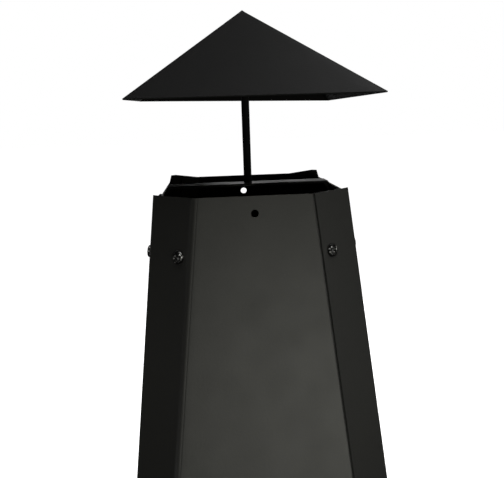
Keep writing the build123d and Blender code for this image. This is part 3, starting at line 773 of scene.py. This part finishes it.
def pan_head_mesh(head_r, head, shank_r, length):
    """A pan head screw, its head standing on z = 0."""
    profile = [(head_r * 0.93, 0), (head_r, head * 0.12), (head_r, head * HEAD_WALL)]
    flat_r = head_r * HEAD_FLAT
    for step in range(1, ARC_STEPS):
        turn = math.pi / 2 * step / ARC_STEPS
        radius = flat_r + (head_r - flat_r) * math.cos(turn)
        profile.append((radius, head * (HEAD_WALL + 0.6 * math.sin(turn))))
    profile.append((head_r * 0.3, head))
    bm = bmesh.new()
    rows = []
    for radius, z in [(shank_r, -length), (shank_r, 0)] + profile:
        turns = [math.tau * step / HEAD_STEPS for step in range(HEAD_STEPS)]
        rows.append([bm.verts.new((radius * math.cos(t), radius * math.sin(t), z)) for t in turns])
    for low, high in zip(rows, rows[1:]):
        for index in range(HEAD_STEPS):
            after = (index + 1) % HEAD_STEPS
            bm.faces.new((low[index], low[after], high[after], high[index]))
    bm.faces.new(rows[-1])
    bm.faces.new(list(reversed(rows[0])))
    mesh = bpy.data.meshes.new("pan_head")
    bm.to_mesh(mesh)
    bm.free()
    return mesh


def recess_mesh(head_r, head):
    """The tapered cross that the recess is cut with."""
    bm = bmesh.new()
    wide, long, depth = head_r * 0.25, head_r * 1.12, head * 0.62
    for turn in (0, math.pi / 2):
        rows = []
        for z, grow in ((head - depth, 0.45), (head + 0.5 * MM, 1.06)):
            half_l, half_w = long / 2 * grow, wide / 2 * (0.6 + 0.4 * grow)
            corners = [(-half_l, -half_w), (half_l, -half_w), (half_l, half_w), (-half_l, half_w)]
            spin = Matrix.Rotation(turn + math.pi / 4, 2)
            rows.append([bm.verts.new((*(spin @ Vector(c)), z)) for c in corners])
        bm.faces.new(list(reversed(rows[0])))
        bm.faces.new(rows[1])
        for index in range(4):
            after = (index + 1) % 4
            bm.faces.new((rows[0][index], rows[0][after], rows[1][after], rows[1][index]))
    mesh = bpy.data.meshes.new("recess")
    bm.to_mesh(mesh)
    bm.free()
    return mesh


def screw_mesh(head_r=6 * MM, head=4 * MM, shank_r=3 * MM, length=12 * MM):
    """A whole screw as one mesh, its recess cut and its edges broken."""
    screw = bpy.data.objects.new("screw", pan_head_mesh(head_r, head, shank_r, length))
    recess = bpy.data.objects.new("recess", recess_mesh(head_r, head))
    for obj in (screw, recess):
        bpy.context.scene.collection.objects.link(obj)
    cut = screw.modifiers.new("cut", "BOOLEAN")
    cut.operation = "DIFFERENCE"
    cut.solver = "EXACT"
    cut.use_self = True
    cut.object = recess
    bake_modifiers(screw)
    break_edges(screw, 0.16 * MM, angle=35)
    bake_modifiers(screw)
    mesh = screw.data
    mesh.shade_smooth()
    for obj in (screw, recess):
        bpy.data.objects.remove(obj)
    return mesh


def scatter(name, mesh, places, materials, node):
    """One piece made of a mesh repeated at many places, each at its own turn."""
    random.seed(name)
    bm = bmesh.new()
    for place in places:
        turn = random.uniform(0, math.tau)
        copy = mesh.copy()
        copy.transform(place @ Matrix.Rotation(turn, 4, "Z"))
        bm.from_mesh(copy)
        bpy.data.meshes.remove(copy)
    joined = bpy.data.meshes.new(name)
    bm.to_mesh(joined)
    bm.free()
    joined.shade_smooth()
    joined.set_sharp_from_angle(angle=math.radians(35))
    obj = new_object(name, joined, materials, "body")
    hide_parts(node)


FACET_SCREW = 13 * MM
SIDE_SCREW = 20 * MM
SIDE_SCREW_DROP = 3 * MM
CHIMNEY_ROWS = (RIM_Z - 53 * MM, 590 * MM)
CHAMBER_ROWS = (500 * MM, 330 * MM, 215 * MM)
LEG_ROWS = (137 * MM, 167 * MM)
LEG_BOLT = 16 * MM


def screw_places(rows):
    """Axes of the body screws in each row: on the cut-off corners and on the sides."""
    places = []
    for z in rows:
        side_z = z - SIDE_SCREW_DROP
        for sx, sy in CORNERS.values():
            places.append(facet_matrix((sx, sy), FACET_SCREW, z))
            places.append(plane_matrix((sx, 0), sx * sy * (flat(side_z) - SIDE_SCREW), side_z))
    return places


def bar_screw_places():
    """Axes of the two screws that hold the crossbar."""
    z = RIM_Z - 10 * MM
    places = []
    for sx in (-1, 1):
        x = half(z) - SHEET - rim_lean(z)
        slope = rim_lean(z + MM) - rim_lean(z - MM) + 2 * MM * TAPER
        normal = Vector((sx * 2 * MM, 0, slope)).normalized()
        across = Vector((0, sx, 0))
        turn = Matrix((across, normal.cross(across), normal)).transposed().to_4x4()
        places.append(Matrix.Translation(Vector((sx * x, 0, z))) @ turn)
    return places


def make_screws():
    """Every screw of the object."""
    big = screw_mesh()
    long = screw_mesh(length=16 * MM)
    small = screw_mesh(4.75 * MM, 3.3 * MM, 2.5 * MM, 10 * MM)
    leg_places = [facet_matrix(c, LEG_BOLT, z) for z in LEG_ROWS for c in CORNERS.values()]
    groups = (
        ("chimney_screws", big, screw_places(CHIMNEY_ROWS)),
        ("chamber_screws", big, screw_places(CHAMBER_ROWS)),
        ("leg_screws", long, leg_places),
        ("crossbar_screws", small, bar_screw_places()),
    )
    for node, mesh, places in groups:
        scatter(node + "_cross_head", mesh, places, (SCREW_PAINTED_GLINTS,), node)


make_screws()

# Door screen: flattened wires woven over and under one another, welded to an edging

SCREEN = (168 * MM, 182 * MM)
SCREEN_EDGING = 8.5 * MM
SCREEN_BACK, SCREEN_FACE = -1.2 * MM, 0.8 * MM
WIRE_PITCH = 14 * MM
WIRE_HALF_WIDTH = 1.15 * MM
WIRE_STEPS = 8
WIRE_SIDES = 10


def wire_rings(bm, start, end, at, along_v, sign):
    """One woven wire across the screen, as rings of an oval section."""
    thick = (SCREEN_FACE - SCREEN_BACK) / 4
    middle = (SCREEN_FACE + SCREEN_BACK) / 2
    count = round((end - start) / WIRE_PITCH * WIRE_STEPS)
    rows = []
    for step in range(count + 1):
        run = start + (end - start) * step / count
        wave = math.cos(math.pi * run / WIRE_PITCH) if along_v else math.sin(math.pi * run / WIRE_PITCH)
        lift = middle + sign * wave * thick
        row = []
        for index in range(WIRE_SIDES):
            turn = math.tau * index / WIRE_SIDES
            beside = at + WIRE_HALF_WIDTH * math.cos(turn)
            out = lift + thick * math.sin(turn)
            row.append(bm.verts.new((beside, run, out) if along_v else (run, beside, out)))
        rows.append(row)
    for low, high in zip(rows, rows[1:]):
        for index in range(len(low)):
            after = (index + 1) % len(low)
            bm.faces.new((low[index], low[after], high[after], high[index]))
    bm.faces.new(rows[0])
    bm.faces.new(list(reversed(rows[-1])))


def edging_faces(bm):
    """The flat band that the wires' ends are welded to."""
    outer = box_outline(*SCREEN)
    inner = box_outline(SCREEN[0] - 2 * SCREEN_EDGING, SCREEN[1] - 2 * SCREEN_EDGING)
    loops = []
    for outline in (outer, inner):
        for w in (SCREEN_BACK, SCREEN_FACE):
            loops.append([bm.verts.new((x, y, w)) for x, y in outline])
    outer_low, outer_high, inner_low, inner_high = loops
    around = [outer_low, outer_high, inner_high, inner_low]
    for place, low in enumerate(around):
        high = around[(place + 1) % len(around)]
        for index in range(4):
            after = (index + 1) % 4
            bm.faces.new((low[index], low[after], high[after], high[index]))


def make_screen():
    """The fire door's wire mesh."""
    bm = bmesh.new()
    half_u, half_v = SCREEN[0] / 2 - SCREEN_EDGING / 2, SCREEN[1] / 2 - SCREEN_EDGING / 2
    for index in range(-6, 6):
        sign = 1 if index % 2 == 0 else -1
        wire_rings(bm, -half_v, half_v, (index + 0.5) * WIRE_PITCH, True, sign)
    for index in range(-6, 7):
        sign = -1 if index % 2 == 0 else 1
        wire_rings(bm, -half_u, half_u, index * WIRE_PITCH, False, sign)
    edging_faces(bm)
    bmesh.ops.recalc_face_normals(bm, faces=bm.faces)
    bm.transform(plane_matrix((0, -1), 0, DOOR_Z))
    mesh = bpy.data.meshes.new("door_screen")
    bm.to_mesh(mesh)
    bm.free()
    mesh.shade_smooth()
    mesh.set_sharp_from_angle(angle=math.radians(50))
    screen = new_object("door_screen", mesh, (WIRE_PAINT,), "door")
    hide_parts("door_mesh")


make_screen()

# CAD nodes that stay: their sharp edges are broken like those of the sheets

REPLACED = {name for name, node in CAD.items() if node.hide_render}


def soften_cad():
    """Welds the imported meshes' seams and breaks their edges."""
    for name, node in CAD.items():
        if name in REPLACED:
            continue
        weld = node.modifiers.new("weld", "WELD")
        weld.merge_threshold = 0.01 * MM
        break_edges(node, 0.3 * MM)


soften_cad()

# Stage: pale floor, white surroundings, soft lights


def area(name, place, target, size, power, seen_in_gloss=True, tint=(1, 1, 1)):
    """A soft rectangular light aimed at a point."""
    data = bpy.data.lights.new(name, "AREA")
    data.shape = "RECTANGLE"
    data.size, data.size_y = size
    data.energy = power
    data.color = tint
    light = bpy.data.objects.new(name, data)
    light.location = place
    light.rotation_euler = (Vector(target) - Vector(place)).to_track_quat("-Z", "Y").to_euler()
    light.visible_glossy = seen_in_gloss
    bpy.context.scene.collection.objects.link(light)
    return light


def pale_floor():
    """White paving paper: it glows evenly far away and takes real light near the object."""
    s = Shader("pale_floor")
    s.link(s.mix(s.noise(3, 2), (0.84, 0.84, 0.84), (0.88, 0.88, 0.88)), s.shader.inputs["Base Color"])
    s.shader.inputs["Roughness"].default_value = 0.9
    s.shader.inputs["Specular IOR Level"].default_value = 0.0
    mapping = s.node("ShaderNodeMapping")
    mapping.inputs["Scale"].default_value = (GLOW_RADIUS**-1,) * 3
    s.link(s.place, mapping.inputs["Vector"])
    ball = s.node("ShaderNodeTexGradient", gradient_type="SPHERICAL")
    s.link(mapping.outputs["Vector"], ball.inputs["Vector"])
    far, near = (0.98, 0.98, 0.98), (0.5, 0.5, 0.5)
    s.link(s.mix(s.ramp(ball.outputs["Fac"], 0.0, 0.7), far, near), s.shader.inputs["Emission Color"])
    s.shader.inputs["Emission Strength"].default_value = 1.06
    return s.material


GLOW_RADIUS = 1.1  # the floor takes real light within this distance
SPARKS = 6  # small lights in a ring about the front view, for the glints on the screws
SPARK_REACH = 2.1
SPARK_SPREAD = math.radians(68)


def make_stage():
    """The floor and the studio around it."""
    bpy.ops.mesh.primitive_plane_add(size=60, location=(0, 0, 0))
    floor = bpy.context.object
    floor.name = "floor"
    dress(floor, pale_floor())
    floor.visible_glossy = False
    floor.visible_diffuse = False

    world = bpy.data.worlds.new("studio")
    bpy.context.scene.world = world
    world.use_nodes = True
    world.node_tree.nodes["Background"].inputs["Color"].default_value = (1, 1, 1, 1)
    world.node_tree.nodes["Background"].inputs["Strength"].default_value = 1.0
    world.cycles_visibility.glossy = False
    world.cycles_visibility.diffuse = False

    middle = (0, 0, 0.8)
    top = (0, 0, 1.0)
    warm = (1.0, 1.0, 0.9)
    area("overhead", (0.2, -0.3, 4.2), (0, 0, 0), (4.0, 4.0), 150, seen_in_gloss=False)
    area("sheen", (1.2, 1.1, 3.5), top, (1.3, 1.3), 3.3)
    area("front", (0.6, -2.6, 0.15), middle, (1.7, 1.4), 34, tint=warm)
    area("right", (2.4, -0.4, 0.8), middle, (0.8, 1.6), 3.4, tint=warm)
    area("left", (-2.6, 0.2, 0.3), middle, (0.6, 0.9), 0.5, tint=warm)
    area("back", (0.9, 2.8, 0.8), middle, (2.0, 1.4), 16)
    area("back_left", (-1.6, 2.6, 0.7), middle, (1.0, 1.4), 9)
    for index in range(SPARKS):
        turn = math.tau * index / SPARKS
        wide, deep = SPARK_REACH * math.sin(SPARK_SPREAD), SPARK_REACH * math.cos(SPARK_SPREAD)
        place = (wide * math.cos(turn), -deep, max(0.2, 1.0 + wide * math.sin(turn)))
        spark = area(f"spark_{index}", place, top, (0.12, 0.12), 0.6 if index else 2.4)
        spark.visible_diffuse = False
    bpy.context.scene.view_settings.view_transform = "Standard"


make_stage()
